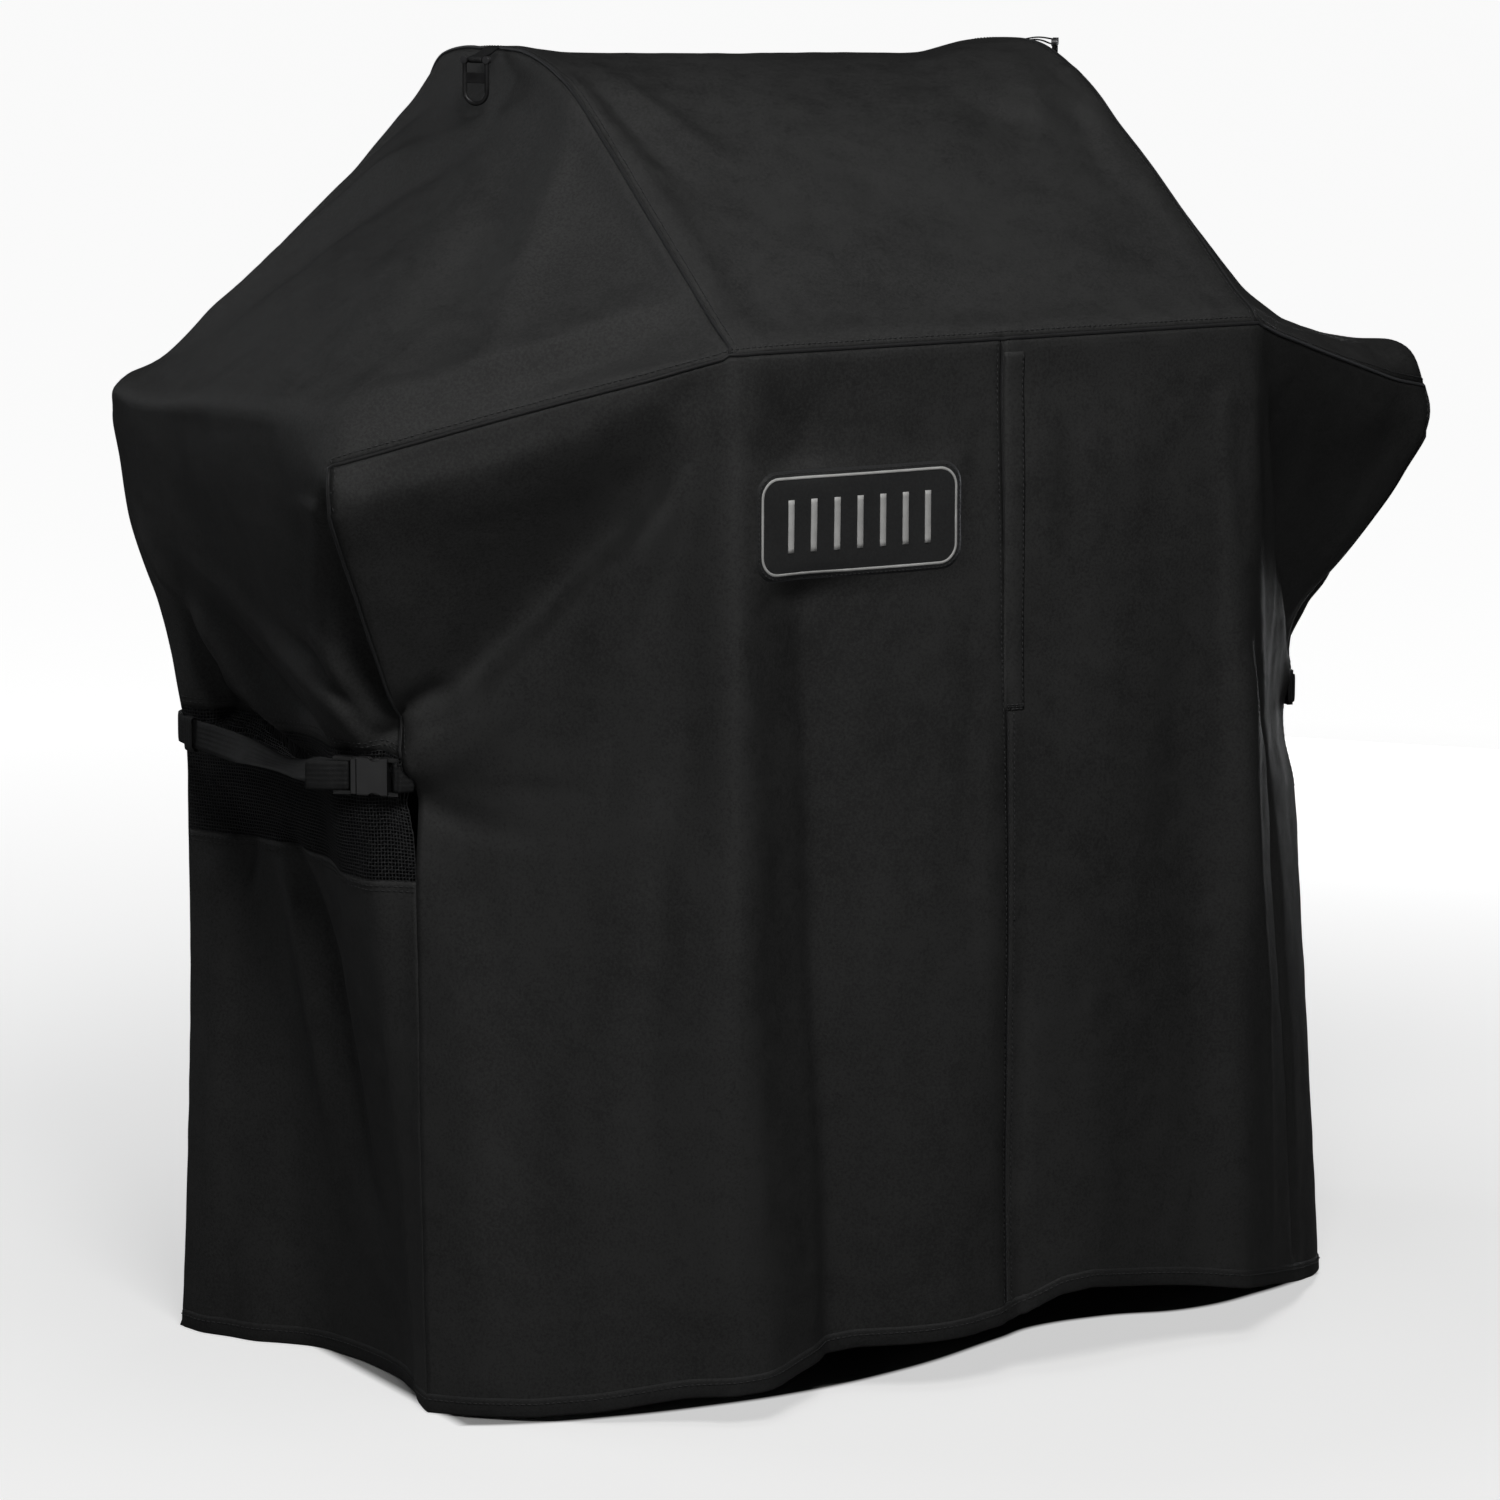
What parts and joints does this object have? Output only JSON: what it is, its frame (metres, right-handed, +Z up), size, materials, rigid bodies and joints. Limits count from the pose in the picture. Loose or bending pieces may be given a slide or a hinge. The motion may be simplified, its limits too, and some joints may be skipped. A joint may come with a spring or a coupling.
{
  "type": "grill cover",
  "caption": "Fitted black fabric cover for a free-standing gas grill: raised arched hood, sloping shelf shoulders, mesh side vents, side straps with release buckles, and hanging loops.",
  "frame": {"origin": "middle of the footprint on the hem plane, at the bottom centre of the cover's box", "axes": "+Z up, -Y towards the front (the side with the badge and the middle seam), +X towards the viewer's right when facing the front"},
  "size_m": [1.1152, 0.596, 1.1394],
  "materials": {
    "shell_fabric": "matte satin woven polyester",
    "mesh": "open woven mesh",
    "piping": "bound seam cord",
    "hem_tape": "matte tape",
    "webbing": "ribbed webbing",
    "badge_rubber": "satin soft plastic",
    "badge_print": "satin grey",
    "buckle_plastic": "moulded satin",
    "ring_metal": "black coated, satin"
  },
  "bodies": {
    "cover": {"hood_top_panel": "shell_fabric", "front_left_panel": "shell_fabric", "front_right_panel": "shell_fabric", "back_panel": "shell_fabric", "shoulder_seam_piping": "piping", "hem_band": "hem_tape", "front_placket": "shell_fabric", "badge_patch": "badge_rubber", "badge_emblem": "badge_print", "left_end_panel": "shell_fabric", "left_lower_panel": "shell_fabric", "left_vent_mesh": "mesh", "left_arch_piping": "piping", "left_back_corner_piping": "piping", "left_hang_tab": "webbing", "left_front_strap": "webbing", "left_rear_strap": "webbing", "left_strap_keeper": "webbing", "left_buckle_female": "buckle_plastic", "right_end_panel": "shell_fabric", "right_lower_panel": "shell_fabric", "right_vent_mesh": "mesh", "right_arch_piping": "piping", "right_back_corner_piping": "piping", "right_hang_tab": "webbing", "right_front_strap": "webbing", "right_rear_strap": "webbing", "right_strap_keeper": "webbing", "right_buckle_female": "buckle_plastic"},
    "left_ring": {"left_hang_ring": "ring_metal"},
    "right_ring": {"right_hang_ring": "ring_metal"},
    "left_buckle_half": {"left_buckle_male": "buckle_plastic"},
    "right_buckle_half": {"right_buckle_male": "buckle_plastic"},
    "left_upper_prong": {"left_upper_prong": "buckle_plastic"},
    "left_lower_prong": {"left_lower_prong": "buckle_plastic"},
    "right_upper_prong": {"right_upper_prong": "buckle_plastic"},
    "right_lower_prong": {"right_lower_prong": "buckle_plastic"}
  },
  "joints": [
    {"name": "left_ring_swing", "type": "hinge", "parent": "cover", "child": "left_ring", "pos_m": [-0.298, 0.088, 1.127], "axis": [-0.6, 0.8, 0], "range_deg": [-12, 115]},
    {"name": "left_buckle_release", "type": "slide", "parent": "cover", "child": "left_buckle_half", "axis": [-0.7001, 0.7141, 0], "range_m": [0, 0.012], "deforming": ["left_rear_strap"]},
    {"name": "left_upper_prong_flex", "type": "hinge", "parent": "left_buckle_half", "child": "left_upper_prong", "pos_m": [-0.49047, -0.05758, 0.5516], "axis": [0.7141, 0.7001, 0], "range_deg": [0, 16]},
    {"name": "left_lower_prong_flex", "type": "hinge", "parent": "left_buckle_half", "child": "left_lower_prong", "pos_m": [-0.49047, -0.05758, 0.5304], "axis": [-0.7141, -0.7001, 0], "range_deg": [0, 16]},
    {"name": "right_ring_swing", "type": "hinge", "parent": "cover", "child": "right_ring", "pos_m": [0.298, 0.088, 1.127], "axis": [-0.6, -0.8, 0], "range_deg": [-12, 115]},
    {"name": "right_buckle_release", "type": "slide", "parent": "cover", "child": "right_buckle_half", "axis": [0.2105, 0.9776, 0], "range_m": [0, 0.012], "deforming": ["right_rear_strap"]},
    {"name": "right_upper_prong_flex", "type": "hinge", "parent": "right_buckle_half", "child": "right_upper_prong", "pos_m": [0.4651, -0.04005, 0.5516], "axis": [0.9776, -0.2105, 0], "range_deg": [0, 16]},
    {"name": "right_lower_prong_flex", "type": "hinge", "parent": "right_buckle_half", "child": "right_lower_prong", "pos_m": [0.4651, -0.04005, 0.5304], "axis": [-0.9776, 0.2105, 0], "range_deg": [0, 16]}
  ],
  "couplings": [
    {"joint": "left_upper_prong_flex", "follows": "left_buckle_release", "rad_per_m": 23.266},
    {"joint": "left_lower_prong_flex", "follows": "left_buckle_release", "rad_per_m": 23.266},
    {"joint": "right_upper_prong_flex", "follows": "right_buckle_release", "rad_per_m": 23.266},
    {"joint": "right_lower_prong_flex", "follows": "right_buckle_release", "rad_per_m": 23.266}
  ]
}
